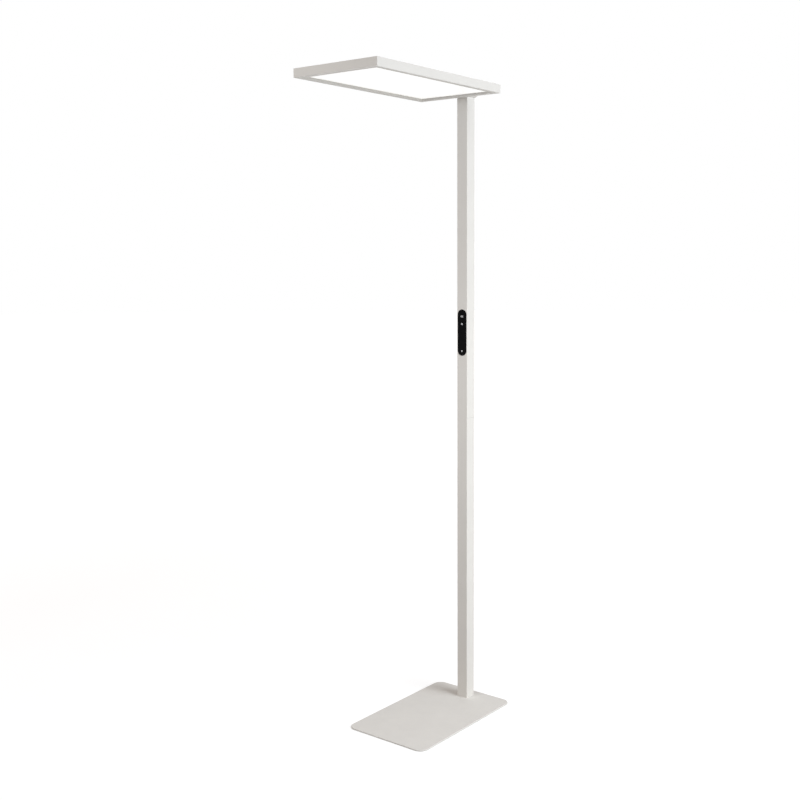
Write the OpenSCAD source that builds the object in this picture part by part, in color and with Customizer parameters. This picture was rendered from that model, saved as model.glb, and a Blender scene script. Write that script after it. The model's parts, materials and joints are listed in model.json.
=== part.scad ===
// Office floor lamp: a flat rectangular head held at its rear end by a square two-part pole
// that stands on a thin base plate. Millimetres, +Z up, +X from the pole to the head's free end.
// The origin is on the floor, below the middle of the whole lamp's box.

/* [Overall] */
// Height from the floor to the top of the head
lamp_h = 1950; // [1500:10:2200]

/* [Head frame] */
// Length of the head from the pole's end to the free end
head_l = 558; // [480:2:800]
// Width of the head
head_w = 302; // [280:2:400]
// Height of the head
head_h = 25; // [24:0.5:32]
// Gap between the pole's front face and the head's rear face
head_gap = 11.5; // [9:0.5:40]
// Wall of the extruded rails
rail_t = 1.6; // [1.2:0.1:2]
// Width of the rim seen from below
rim_w = 17; // [14:0.5:24]
// Small bevel along the rails' outer edges
rail_edge = 0.4; // [0.2:0.1:0.8]
// Depth of the lower diffuser behind the rim
recess_h = 6.5; // [6:0.1:8]
// Width of the inner lip that carries the top cover
lip_w = 8; // [7.5:0.5:12]
// Gap left between two mitred rails
mitre_gap = 0.1; // [0.05:0.05:0.3]
// Length of each leg of a corner key
key_l = 45; // [30:1:70]
// Thickness of a corner key
key_t = 3; // [2:0.1:3.8]
// Thread diameter of the grub screws in the corner keys
grub_d = 4; // [3:0.5:5]

/* [Lower optic] */
// Thickness of the lower diffuser
diffuser_t = 1.5; // [1:0.1:2]
// Thickness of the light guide
guide_t = 4; // [3:0.1:4.5]
// Thickness of the white reflector sheet
reflector_t = 0.4; // [0.2:0.1:0.6]
// Gap round the loose optical sheets
sheet_gap = 0.5; // [0.3:0.1:0.9]
// Thickness of a light-emitting board
board_t = 1.2; // [0.8:0.1:1.4]
// Height of one light source on its board
chip_t = 0.8; // [0.5:0.1:1]
// Length of one light source
chip_l = 3; // [2:0.1:4]
// Spacing of the light sources along the edge strips
edge_pitch = 12; // [8:1:30]
// Distance from the head's end to the end of an edge strip
strip_in = 14; // [10:1:40]

/* [Tray and upper optic] */
// Sheet thickness of the gear tray
tray_t = 1; // [0.8:0.1:1.2]
// Sheet thickness of the top cover
cover_t = 1.2; // [1:0.1:1.5]
// Gap round the top cover
cover_gap = 0.3; // [0.1:0.1:0.6]
// Thickness of the upper diffuser
uplight_t = 2; // [1.5:0.1:2.5]
// Distance from the head's rear face to the window for the upward light
window_back = 196; // [170:2:260]
// Distance from the head's free end to the window
window_front = 26; // [20:1:60]
// Distance from the head's sides to the window
window_side = 38; // [20:1:80]
// Overlap of the upper diffuser under the window's edge
window_lap = 8; // [4:1:10]
// Radius of the window's corners
window_r = 6; // [2:1:20]
// Number of boards for the upward light
uplight_count = 4; // [2:1:6]
// Width of a board for the upward light
uplight_board_w = 12; // [8:1:20]
// Spacing of the light sources for the upward light
uplight_pitch = 20; // [12:1:60]
// Screws along each long side of the top cover
cover_screws_long = 4; // [2:1:6]
// Thread diameter of the small countersunk screws
small_screw_d = 3; // [2.5:0.1:3.2]
// Distance from the head's corner to the first cover screw
cover_screw_in = 40; // [30:1:60]

/* [Driver] */
// Length of the driver across the head
driver_l = 216; // [120:2:224]
// Width of the driver
driver_w = 30; // [24:1:36]
// Height of the driver
driver_h = 9; // [7:0.1:9.2]
// Distance between the arm plate's end and the driver
driver_gap = 20; // [6:1:30]
// Length of a fixing ear on the driver
ear_l = 10; // [8:1:14]
// Thickness of a fixing ear on the driver
ear_t = 1.5; // [1:0.1:2]

/* [Arm] */
// Width of the steel arm plate
arm_w = 40; // [36:1:40]
// Thickness of the arm plate
arm_t = 4; // [3:0.1:4.5]
// Length of the arm plate inside the head
arm_reach = 92; // [70:1:100]
// Width of the slot in the arm plate for the lead
arm_slot = 10; // [7:0.5:12]
// Width of the seat plate that the arm is screwed to
seat_w = 64; // [44:1:90]
// Thickness of the seat plate
seat_t = 3; // [2:0.1:3.5]
// Thread diameter of the arm screws and the pole screws
screw_d = 5; // [4:0.5:5]

/* [Pole] */
// Side of the square pole
pole_w = 39; // [37:0.5:46]
// Wall of the pole
pole_t = 1.5; // [1.2:0.1:2]
// Radius of the pole's outer edges
pole_r = 1.5; // [0.5:0.1:3]
// Height of the joint between the two pole lengths
seam_z = 933; // [600:1:1000]
// Gap at the joint between the two pole lengths
seam_gap = 0.4; // [0.1:0.1:0.8]
// Length of the sleeve inside the joint
sleeve_l = 180; // [120:2:240]
// Wall of the sleeve
sleeve_t = 2; // [1.5:0.1:3]
// Height of the block in the pole's foot
foot_block_h = 40; // [30:1:50]
// Height of the block in the pole's top
top_block_h = 60; // [54:1:90]
// Clearance between the pole and what slides inside it
slide_gap = 0.1; // [0.05:0.05:0.3]

/* [Pole cap] */
// How far the cap stands out round the pole
cap_out = 8.5; // [5:0.5:9]
// Width of the cap's underside round the pole, below its flare
cap_foot = 1; // [0.8:0.1:3]
// Height of the cap's lower edge above the head's underside
cap_rise = 4; // [0:0.5:5]
// Wall of the cap
cap_t = 2; // [1.5:0.1:2.4]
// Radius of the cap's upright edges
cap_r = 3; // [1.5:0.5:5]
// Bevel round the cap's top
cap_bevel = 0.8; // [0.3:0.1:1.2]

/* [Control panel] */
// Height of the control panel's lower end above the floor
panel_z = 1132; // [1120:1:1500]
// Length of the control panel's face
panel_l = 146; // [130:1:200]
// Width of the control panel's face
panel_w = 34; // [31:0.5:34]
// Thickness of the panel's face
panel_t = 1; // [1:0.1:3]
// Bevel round the panel's face
panel_bevel = 0.3; // [0.2:0.1:0.8]
// Overlap of the panel's face on the pole
panel_lap = 1.8; // [1:0.1:2.2]
// Depth of the control housing inside the pole
housing_depth = 13; // [12:0.5:13.5]
// Wall of the control housing
housing_t = 1.5; // [1:0.1:2]
// Thickness of the control board
pcb_t = 1.6; // [1:0.1:2]
// Distance from the panel's ends to the sockets for the leads
plug_in = 22; // [18:1:40]

/* [Base] */
// Length of the base plate
base_l = 462; // [380:2:600]
// Width of the base plate
base_w = 296; // [220:2:400]
// Thickness of the base plate
base_t = 4; // [4:0.5:12]
// Radius of the base plate's corners
base_r = 28; // [5:1:60]
// Bevel round the base plate's top
base_bevel = 1; // [0.3:0.1:2]
// Distance from the pole's axis to the base plate's rear edge
base_back = 48; // [30:1:120]
// Diameter of the pads under the base plate
pad_d = 24; // [12:1:40]
// Thickness of the pads
pad_t = 1; // [0.8:0.1:5]
// Bevel round the pads' lower edge
pad_edge = 0.3; // [0.1:0.1:0.5]
// Distance from the base plate's edges to the pads' centres
pad_in = 34; // [22:1:60]
// Thread diameter of the base screws
base_screw_d = 6; // [5:0.5:7]
// Length of the base screws
base_screw_l = 20; // [12:1:25]

/* [Power inlet and leads] */
// Height of the power inlet above the floor
inlet_z = 70; // [70:1:200]
// Thread diameter of the power inlet
inlet_d = 11; // [9:0.5:12]
// Diameter of the inlet's flange
inlet_flange_d = 15; // [14:0.5:18]
// Depth of the inlet behind the pole's face
inlet_depth = 13; // [12:0.5:13.5]
// Diameter of the inlet's socket
socket_d = 6.4; // [5:0.1:7]
// Diameter of the contact pin in the socket
contact_d = 2.1; // [1.3:0.1:2.5]
// Diameter of the leads inside the pole
lead_d = 4.5; // [3:0.1:4.8]
// Diameter of the thin wires inside the head
wire_d = 1.2; // [0.8:0.1:1.3]

/* [Hidden] */
$fn = 48;

// Clearances
touch_gap = 0.1;
small_gap = 0.2;
screw_gap = 0.05;
hole_gap = 0.2;
cut = 1;

// Levels in the head, measured up from the underside of its rim
guide_z = recess_h + diffuser_t;
reflector_z = guide_z + guide_t;
tray_z = reflector_z + reflector_t;
floor_z = tray_z + tray_t;
arm_z = floor_z + seat_t;
cover_z = head_h - cover_t;
lip_z = cover_z - rail_t;
lead_z = arm_z + lead_d / 2 + touch_gap;

// Places in the head: x forward from its rear face, y from its middle line
tray_in = rail_t + 2 * small_gap;
tray_inner = tray_in + tray_t;
sheet_in = rail_t + sheet_gap;
strip_y = head_w / 2 - rail_t - board_t;
wire_y = head_w / 2 - tray_inner - small_gap - wire_d / 2;
guide_side = min(strip_y - chip_t - sheet_gap, wire_y - wire_d / 2 - small_gap);
lip_mid = (rail_t + lip_w) / 2 + small_gap;
window_l = head_l - window_back - window_front;
window_w = head_w - 2 * window_side;
driver_x = arm_reach + driver_gap;
wire_x = driver_x + driver_w / 4;
wire_z = floor_z + driver_h / 2;
wire_end_z = guide_z + guide_t / 3;
wire_hole_d = wire_d + 0.3;
seat_x = tray_inner + small_gap;
seat_end = 4;
arm_end_in = 16;
arm_near_in = 22;
chip_side = 2.4;
key_low = rail_t + touch_gap;
key_high = rim_w - rail_t - touch_gap;
key_mid = (key_low + key_high) / 2;
key_screw_in = 10;
driver_bevel = 1.5;
uplight_wire_in = 5;
uplight_wire_y = 2;

// Places round the pole's axis
base_top = pad_t + base_t;
head_z = lamp_h - head_h;
head_x = pole_w / 2 + head_gap;
pole_top = head_z + arm_z;
pole_in = pole_w - 2 * pole_t;
block_w = pole_in - 2 * slide_gap;
front_x = max(head_x + head_l, base_l - base_back);
pole_x = (base_back - front_x) / 2;
arm_back = pole_w / 2 - pole_t + touch_gap;
arm_screw_y = arm_w / 4 + arm_slot / 4;
block_screw_in = 7;
top_screw_x = block_w / 2 - block_screw_in;
foot_screw_xy = block_w / 2 - block_screw_in;
cap_half = pole_w / 2 + cap_out;
cap_z = head_z + cap_rise;
cap_flare = cap_out - cap_foot;
cap_floor_z = cap_z + cap_flare + cap_t;
cap_screw_x = pole_w / 2 + head_gap / 2;
top_screw_drop = [12, 32];
lead_r = 2 * lead_d;
lead_top_r = 20;
lead_turn_z = head_z + lead_z - lead_top_r;
screw_l = 8;
arm_screw_l = 14;
tip_gap = 1;
cover_screw_l = 5;
tag_l = 3;
tag_w = 3;
tag_t = 0.6;

// Places in the control panel
housing_l = panel_l - 2 * panel_lap;
housing_w = panel_w - 2 * panel_lap;
housing_x = pole_w / 2 - housing_depth;
board_x = pole_w / 2 - pcb_t;
panel_mid = panel_z + panel_l / 2;
plug_back = 2.5;
plug_x = housing_x + housing_t + plug_back;
plug_w = 8;
plug_h = 6;
touch_chip_w = 7;
touch_chip_t = 1.2;
touch_pitch = 14;
plug_low = panel_z + plug_in;
plug_high = panel_z + panel_l - plug_in;
boss_d = 4.4;
hook_l = 10;
hook_h = 3;
hook_out = 0.8;

// Colours
coat = [0.83, 0.82, 0.79];
steel = [0.62, 0.63, 0.65];
alloy = [0.75, 0.76, 0.78];
black = [0.05, 0.05, 0.055];
opal = [0.97, 0.97, 0.95];
board_white = [0.92, 0.93, 0.92];
board_green = [0.08, 0.3, 0.16];

// ---- shared shapes ----

// Rectangle with round corners, centred
module rounded_rect(l, w, r) {
    square([l, w - 2 * r], center = true);
    square([l - 2 * r, w], center = true);
    for (x = [-1, 1], y = [-1, 1])
        translate([x * (l / 2 - r), y * (w / 2 - r)]) circle(r);
}

// Plate with round corners and a bevel round its top, centred on x and y
module bevelled_plate(l, w, t, r, c) {
    for (x = [-1, 1], y = [-1, 1])
        translate([x * (l / 2 - r), y * (w / 2 - r), 0]) {
            cylinder(r = r, h = t - c);
            translate([0, 0, t - c]) cylinder(r1 = r, r2 = r - c, h = c);
        }
    rotate([90, 0, 90])
        linear_extrude(l - 2 * r, center = true) bevelled_section(w, t, c);
    rotate([90, 0, 0])
        linear_extrude(w - 2 * r, center = true) bevelled_section(l, t, c);
}

// Section of a plate whose two upper edges are bevelled
module bevelled_section(w, t, c) {
    polygon([[-w / 2, 0], [w / 2, 0], [w / 2, t - c], [w / 2 - c, t],
             [-w / 2 + c, t], [-w / 2, t - c]]);
}

// Long outline with round ends, its length along y, centred
module stadium(l, w) {
    square([w, l - w], center = true);
    for (y = [-1, 1]) translate([0, y * (l - w) / 2]) circle(w / 2);
}

// Upright plate on the control panel's outline, from x = 0 forwards, centred on y and z
module stadium_plate(l, w, t) {
    rotate([90, 0, 90]) linear_extrude(t) stadium(l, w);
}

// Square tube with slightly rounded outer edges
module square_tube(side, wall, r, length) {
    linear_extrude(length) difference() {
        rounded_rect(side, side, r);
        square(side - 2 * wall, center = true);
    }
}

// Countersunk screw, its flat top at z = 0 and its shank pointing down
module countersunk_screw(d, length) {
    difference() {
        union() {
            translate([0, 0, -d / 2]) cylinder(r1 = d / 2 - screw_gap, r2 = d - screw_gap, h = d / 2);
            translate([0, 0, -length]) cylinder(d = d - 2 * screw_gap, h = length - d / 4);
        }
        translate([0, 0, -d / 3]) cylinder(d = d * 0.8, h = d, $fn = 6);
    }
}

// Hole for a countersunk screw, its wide end at z = 0
module countersunk_hole(d, depth) {
    translate([0, 0, -d / 2])
        cylinder(r1 = d / 2 + hole_gap / 2, r2 = d + hole_gap / 2, h = d / 2 + touch_gap);
    translate([0, 0, -depth]) cylinder(d = d + hole_gap, h = depth);
}

// Screw with a low round head that stands on z = 0, its shank pointing down
module button_screw(d, length) {
    difference() {
        union() {
            cylinder(r1 = d * 0.95, r2 = d * 0.6, h = d * 0.55);
            translate([0, 0, -length]) cylinder(d = d - 2 * screw_gap, h = length + d / 4);
        }
        translate([0, 0, d * 0.2]) cylinder(d = d * 0.6, h = d, $fn = 6);
    }
}

// Quarter turn of a lead from upright at the origin to level, towards +x
module lead_bend(d, r) {
    translate([r, 0, 0]) rotate([90, 0, 0]) rotate([0, 0, 90])
        rotate_extrude(angle = 90) translate([r, 0]) circle(d = d);
}

// Moves a shape from the pole's axis to its place in the lamp
module at_pole() {
    translate([pole_x, 0, 0]) children();
}

// Moves a shape from the head's own frame to its place in the lamp
module in_head() {
    translate([pole_x + head_x, 0, head_z]) children();
}

// Makes a shape on both sides of the head's middle line
module both_sides() {
    children();
    mirror([0, 1, 0]) children();
}

// ---- base ----

module base_plate() {
    color(coat) at_pole() difference() {
        translate([base_l / 2 - base_back, 0, pad_t])
            bevelled_plate(base_l, base_w, base_t, base_r, base_bevel);
        foot_screw_places() rotate([180, 0, 0]) countersunk_hole(base_screw_d, base_t + cut);
    }
}

// The four base screws' places, at the base plate's underside
module foot_screw_places() {
    for (x = [-1, 1], y = [-1, 1])
        translate([x * foot_screw_xy, y * foot_screw_xy, pad_t]) children();
}

module base_pads() {
    color(black) at_pole() for (i = [0, 0.5, 1], y = [-1, 1])
        translate([pad_in - base_back + i * (base_l - 2 * pad_in), y * (base_w / 2 - pad_in), 0])
            pad();
}

module pad() {
    cylinder(r1 = pad_d / 2 - pad_edge, r2 = pad_d / 2, h = pad_edge);
    translate([0, 0, pad_edge]) cylinder(d = pad_d, h = pad_t - pad_edge);
}

module base_screws() {
    color(steel) at_pole() foot_screw_places()
        rotate([180, 0, 0]) countersunk_screw(base_screw_d, base_screw_l);
}

module foot_block() {
    color(alloy) at_pole() difference() {
        translate([-block_w / 2, -block_w / 2, base_top]) cube([block_w, block_w, foot_block_h]);
        foot_screw_places() cylinder(d = base_screw_d, h = base_t + base_screw_l);
    }
}

// ---- pole ----

// Hole through one wall of the pole, +z pointing out of it
module wall_hole(d) {
    translate([0, 0, -pole_t - cut]) cylinder(d = d, h = pole_t + 2 * cut);
}

module lower_pole() {
    color(coat) at_pole() difference() {
        translate([0, 0, base_top]) square_tube(pole_w, pole_t, pole_r, seam_z - base_top - seam_gap / 2);
        pole_screw_places() wall_hole(screw_d + 2 * hole_gap);
        inlet_place() wall_hole(inlet_d + 2 * hole_gap);
    }
}

module upper_pole() {
    color(coat) at_pole() difference() {
        translate([0, 0, seam_z + seam_gap / 2])
            square_tube(pole_w, pole_t, pole_r, pole_top - seam_z - seam_gap / 2);
        pole_screw_places() wall_hole(screw_d + 2 * hole_gap);
        translate([0, 0, panel_mid])
            stadium_plate(housing_l + 2 * small_gap, housing_w + 2 * small_gap, pole_w);
        translate([0, -arm_slot / 2, pole_top - lead_d / 2]) cube([pole_w, arm_slot, lead_d]);
    }
}

// The rear screws' places, on the pole's rear face with +z pointing out of it
module pole_screw_places() {
    heights = concat([for (k = [-3, -1, 1, 3]) seam_z + k * sleeve_l / 8],
                     [for (drop = top_screw_drop) cap_z - drop]);
    for (z = heights) translate([-pole_w / 2, 0, z]) rotate([0, -90, 0]) children();
}

module pole_screws() {
    color(steel) at_pole() pole_screw_places() button_screw(screw_d, screw_l);
}

module joiner_sleeve() {
    color(alloy) at_pole() difference() {
        translate([0, 0, seam_z - sleeve_l / 2]) square_tube(block_w, sleeve_t, pole_r, sleeve_l);
        pole_screw_places() translate([0, 0, -screw_l - cut]) cylinder(d = screw_d, h = screw_l + cut);
    }
}

module top_block() {
    color(alloy) at_pole() difference() {
        translate([-block_w / 2, -block_w / 2, pole_top - top_block_h])
            cube([block_w, block_w, top_block_h]);
        translate([0, 0, pole_top - top_block_h - cut]) {
            cylinder(d = arm_slot, h = top_block_h + 2 * cut);
            translate([0, -arm_slot / 2, 0]) cube([pole_w, arm_slot, top_block_h + 2 * cut]);
        }
        top_screw_places() translate([0, 0, -arm_t - arm_screw_l]) cylinder(d = screw_d, h = arm_screw_l);
        pole_screw_places() translate([0, 0, -screw_l - cut]) cylinder(d = screw_d, h = screw_l + cut);
    }
}

// ---- power inlet and leads ----

// The inlet's place on the pole's rear face, +z pointing out of it
module inlet_place() {
    translate([-pole_w / 2, 0, inlet_z]) rotate([0, -90, 0]) children();
}

module power_inlet() {
    flange_t = 2;
    socket_l = 9;
    tag_root = 0.5;
    color(black) at_pole() inlet_place() {
        difference() {
            union() {
                cylinder(d = inlet_d, h = flange_t / 2);
                translate([0, 0, -inlet_depth]) cylinder(d = inlet_d, h = inlet_depth);
                cylinder(r1 = inlet_flange_d / 2, r2 = inlet_flange_d / 2 - flange_t / 4, h = flange_t);
            }
            translate([0, 0, flange_t - socket_l]) cylinder(d = socket_d, h = socket_l + cut);
        }
        translate([0, 0, -socket_l]) cylinder(d = contact_d, h = socket_l);
        for (y = [-1, 1])
            translate([-tag_w / 2, y * inlet_d / 5 - tag_t / 2, -inlet_depth - tag_l])
                cube([tag_w, tag_t, tag_l + tag_root]);
    }
}

module inlet_nut() {
    nut_t = 2.5;
    nut_wall = 2.5;
    color(steel) at_pole() inlet_place() translate([0, 0, -pole_t - nut_t]) difference() {
        cylinder(d = inlet_d + 2 * nut_wall, h = nut_t, $fn = 6);
        translate([0, 0, -cut]) cylinder(d = inlet_d + 2 * screw_gap, h = nut_t + 2 * cut);
    }
}

// Rises from the inlet's solder tags to the control board's lower socket
module supply_lead() {
    start_z = inlet_z + tag_w / 2 + small_gap;
    color(black) at_pole() {
        translate([0, 0, start_z]) cylinder(d = lead_d, h = plug_low - lead_r - start_z);
        translate([0, 0, plug_low - lead_r]) lead_bend(lead_d, lead_r);
        translate([lead_r, 0, plug_low]) rotate([0, 90, 0]) cylinder(d = lead_d, h = plug_x - lead_r);
    }
}

// Rises from the control board's upper socket, turns through the arm and ends at the driver
module head_lead() {
    color(black) at_pole() {
        translate([lead_r, 0, plug_high]) rotate([0, 90, 0]) cylinder(d = lead_d, h = plug_x - lead_r);
        translate([0, 0, plug_high + lead_r]) mirror([0, 0, 1]) lead_bend(lead_d, lead_r);
        translate([0, 0, plug_high + lead_r])
            cylinder(d = lead_d, h = lead_turn_z - plug_high - lead_r);
        translate([0, 0, lead_turn_z]) lead_bend(lead_d, lead_top_r);
        translate([lead_top_r, 0, head_z + lead_z]) rotate([0, 90, 0])
            cylinder(d = lead_d, h = head_x + driver_x - lead_top_r);
    }
}

// ---- control panel ----

module control_housing() {
    inner_l = housing_l - 2 * housing_t;
    inner_w = housing_w - 2 * housing_t;
    hole_d = lead_d + 1.8;
    hole_shift = 0.3;
    color(black) at_pole() {
        difference() {
            translate([housing_x, 0, panel_mid]) stadium_plate(housing_l, housing_w, housing_depth);
            translate([housing_x + housing_t, 0, panel_mid]) stadium_plate(inner_l, inner_w, housing_depth);
            for (z = [plug_low - hole_shift, plug_high + hole_shift])
                translate([housing_x - cut, 0, z]) rotate([0, 90, 0])
                    cylinder(d = hole_d, h = housing_t + 2 * cut);
        }
        for (y = [-1, 1], z = [-1, 1])
            translate([housing_x + housing_t / 2, y * housing_w / 4, panel_mid + z * panel_l / 5])
                rotate([0, 90, 0]) cylinder(d = boss_d, h = board_x - housing_x - housing_t / 2);
        both_sides() for (z = [-1, 1])
            translate([pole_w / 2 - pole_t - touch_gap, housing_w / 2, panel_mid + z * panel_l / 4])
                linear_extrude(hook_l, center = true)
                    polygon([[0, -housing_t / 2], [0, hook_out], [-hook_h, 0], [-hook_h, -housing_t / 2]]);
    }
}

// Board behind the face, with its two lead sockets and the touch chips on its back
module control_board() {
    pcb_l = housing_l - 2 * housing_t - 2 * small_gap;
    pcb_w = housing_w - 2 * housing_t - 2 * small_gap;
    color(board_green) at_pole() {
        translate([board_x, 0, panel_mid]) stadium_plate(pcb_l, pcb_w, pcb_t);
        for (z = [plug_low, plug_high])
            translate([plug_x, -plug_w / 2, z - plug_h / 2])
                cube([board_x + pcb_t / 2 - plug_x, plug_w, plug_h]);
        for (k = [-1, 0, 1])
            translate([board_x - touch_chip_t, 0, panel_mid + k * touch_pitch]) rotate([0, 90, 0])
                linear_extrude(touch_chip_t + pcb_t / 2) square(touch_chip_w, center = true);
    }
}

module control_fascia() {
    straight = panel_l - panel_w;
    color(black) at_pole() translate([pole_w / 2, 0, panel_mid]) {
        stadium_plate(panel_l, panel_w, panel_t - panel_bevel);
        translate([panel_t - panel_bevel, 0, 0]) {
            for (z = [-1, 1]) translate([0, 0, z * straight / 2]) rotate([0, 90, 0])
                cylinder(r1 = panel_w / 2, r2 = panel_w / 2 - panel_bevel, h = panel_bevel);
            linear_extrude(straight, center = true)
                polygon([[0, -panel_w / 2], [panel_bevel, -panel_w / 2 + panel_bevel],
                         [panel_bevel, panel_w / 2 - panel_bevel], [0, panel_w / 2]]);
        }
    }
}

// ---- arm between pole and head ----

// The arm screws' places over the pole, at the arm plate's top
module top_screw_places() {
    for (x = [-1, 1], y = [-1, 1])
        translate([x * top_screw_x, y * arm_screw_y, pole_top + arm_t]) children();
}

// The arm screws' places over the seat plate, at the arm plate's top
module seat_screw_places() {
    for (x = [arm_near_in, arm_reach - arm_end_in], y = [-1, 1])
        translate([head_x + x, y * arm_screw_y, pole_top + arm_t]) children();
}

// The cap screws' places, at the cap's top
module cap_screw_places() {
    for (y = [-1, 1]) translate([cap_screw_x, y * arm_screw_y, lamp_h]) children();
}

// Forked steel plate: the lead runs in its slot
module arm_plate() {
    color(steel) at_pole() difference() {
        translate([-arm_back, -arm_w / 2, pole_top]) cube([arm_back + head_x + arm_reach, arm_w, arm_t]);
        translate([0, 0, pole_top - cut]) {
            cylinder(d = arm_slot, h = arm_t + 2 * cut);
            translate([0, -arm_slot / 2, 0]) cube([head_x + arm_reach + cut, arm_slot, arm_t + 2 * cut]);
        }
        top_screw_places() countersunk_hole(screw_d, arm_t + cut);
        seat_screw_places() countersunk_hole(screw_d, arm_t + cut);
        cap_screw_places() translate([0, 0, -head_h]) cylinder(d = small_screw_d, h = head_h);
    }
}

module arm_screws() {
    color(steel) at_pole() {
        top_screw_places() countersunk_screw(screw_d, arm_t + arm_screw_l - tip_gap);
        seat_screw_places() countersunk_screw(screw_d, arm_t + seat_t - small_gap);
    }
}

module arm_seat() {
    color(steel) difference() {
        in_head() translate([seat_x, -seat_w / 2, floor_z])
            cube([arm_reach + seat_end - seat_x, seat_w, seat_t]);
        at_pole() seat_screw_places() translate([0, 0, -arm_t - seat_t - cut])
            cylinder(d = screw_d, h = seat_t + 2 * cut);
    }
}

// Section of the cap: flared at its lower edges, slightly bevelled at its upper ones
module cap_section(w, h) {
    polygon([[-w / 2 + cap_flare, 0], [w / 2 - cap_flare, 0], [w / 2, cap_flare],
             [w / 2, h - cap_bevel], [w / 2 - cap_bevel, h], [-w / 2 + cap_bevel, h],
             [-w / 2, h - cap_bevel], [-w / 2, cap_flare]]);
}

// Hollow cover over the arm plate and the pole's top, open towards the head
module pole_cap() {
    cap_h = lamp_h - cap_z;
    full_l = head_x + cap_half + 2 * cap_out;
    full_w = 2 * cap_half;
    socket = pole_w + 2 * small_gap;
    arm_hollow = arm_w + 2 * small_gap;
    inner_half = cap_half - cap_t;
    boss = 2 * small_screw_d + 1;
    color(coat) at_pole() difference() {
        union() {
            difference() {
                translate([full_l / 2 - cap_half, 0, cap_z]) intersection() {
                    rotate([90, 0, 90]) linear_extrude(full_l, center = true) cap_section(full_w, cap_h);
                    rotate([90, 0, 0]) linear_extrude(full_w, center = true) cap_section(full_l, cap_h);
                    linear_extrude(cap_h) rounded_rect(full_l, full_w, cap_r);
                }
                translate([-socket / 2, -socket / 2, cap_z - cut])
                    cube([socket, socket, cap_floor_z - cap_z + 2 * cut]);
                translate([-inner_half, -inner_half, cap_floor_z])
                    cube([full_l, 2 * inner_half, lamp_h - cap_t - cap_floor_z]);
                translate([socket / 2 + cap_t, -arm_hollow / 2, cap_z + cap_t])
                    cube([full_l, arm_hollow, cap_flare + cut]);
            }
            cap_screw_places() translate([0, 0, pole_top + arm_t - lamp_h])
                cylinder(d = boss, h = lamp_h - pole_top - arm_t - cap_t / 2);
        }
        cap_screw_places() countersunk_hole(small_screw_d, head_h);
        translate([head_x, -head_w / 2, 0]) cube([head_l, head_w, lamp_h + cut]);
    }
}

module cap_screws() {
    color(steel) at_pole() cap_screw_places()
        countersunk_screw(small_screw_d, lamp_h - pole_top - touch_gap);
}

// ---- head frame ----

// Extruded rail with mitred ends, from x = 0 to its length, its outer face at y = 0
module rail(length) {
    end = mitre_gap / sqrt(2);
    intersection() {
        rotate([90, 0, 90]) linear_extrude(length)
            polygon([[rail_edge, 0], [rim_w - rail_edge, 0], [rim_w, rail_edge], [rim_w, recess_h],
                     [rim_w - rail_t, recess_h], [rim_w - rail_t, rail_t], [rail_t, rail_t],
                     [rail_t, lip_z], [lip_w, lip_z], [lip_w, cover_z], [rail_t, cover_z],
                     [rail_t, head_h], [rail_edge, head_h], [0, head_h - rail_edge], [0, rail_edge]]);
        translate([0, 0, -cut]) linear_extrude(head_h + 2 * cut)
            polygon([[end, 0], [length - end, 0], [length - end - rim_w, rim_w], [end + rim_w, rim_w]]);
    }
}

module left_rail() {
    color(coat) in_head() difference() {
        translate([0, -head_w / 2, 0]) rail(head_l);
        cover_screw_places() countersunk_hole(small_screw_d, head_h / 4);
    }
}

module right_rail() {
    color(coat) in_head() difference() {
        translate([head_l, head_w / 2, 0]) rotate([0, 0, 180]) rail(head_l);
        cover_screw_places() countersunk_hole(small_screw_d, head_h / 4);
    }
}

module front_rail() {
    color(coat) in_head() difference() {
        translate([head_l, -head_w / 2, 0]) rotate([0, 0, 90]) rail(head_w);
        cover_screw_places() countersunk_hole(small_screw_d, head_h / 4);
    }
}

module rear_rail() {
    color(coat) in_head() difference() {
        translate([0, head_w / 2, 0]) rotate([0, 0, -90]) rail(head_w);
        cover_screw_places() countersunk_hole(small_screw_d, head_h / 4);
        arm_opening();
    }
}

// Opening in the head's rear for the arm plate and the lead
module arm_opening() {
    translate([-cut, -arm_w / 2 - small_gap, arm_z - small_gap])
        cube([tray_inner + 2 * cut, arm_w + 2 * small_gap, arm_t + 2 * small_gap]);
    translate([-cut, 0, lead_z]) rotate([0, 90, 0])
        cylinder(d = lead_d + 2 * small_gap, h = tray_inner + 2 * cut);
}

// A shape at each of the head's four corners, drawn with the corner at the origin
module head_corners() {
    for (e = [0, 1], s = [0, 1])
        translate([e * head_l, (s - 0.5) * head_w, 0]) mirror([e, 0, 0]) mirror([0, s, 0]) children();
}

// The grub screws' places in one corner key, at the rail's flange
module key_screw_places() {
    translate([key_l - key_screw_in, key_mid, rail_t]) children();
    translate([key_mid, key_l - key_screw_in, rail_t]) children();
}

module corner_keys() {
    color(alloy) in_head() head_corners() difference() {
        translate([0, 0, rail_t]) linear_extrude(key_t)
            polygon([[key_low, key_low], [key_l, key_low], [key_l, key_high], [key_high, key_high],
                     [key_high, key_l], [key_low, key_l]]);
        key_screw_places() translate([0, 0, -cut]) cylinder(d = grub_d, h = key_t + 2 * cut);
    }
}

module corner_screws() {
    hex_deep = 1;
    color(steel) in_head() head_corners() key_screw_places() difference() {
        cylinder(d = grub_d - 2 * screw_gap, h = key_t + small_gap);
        translate([0, 0, key_t - hex_deep]) cylinder(d = grub_d / 2, h = hex_deep + cut, $fn = 6);
    }
}

// ---- lower optic ----

// Flat sheet between the rails: its edges' distance from the head's sides and ends
module head_sheet(side, end, t) {
    translate([end, side - head_w / 2, 0]) cube([head_l - 2 * end, head_w - 2 * side, t]);
}

module lower_diffuser() {
    color(opal) in_head() translate([0, 0, recess_h]) head_sheet(sheet_in, sheet_in, diffuser_t);
}

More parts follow.
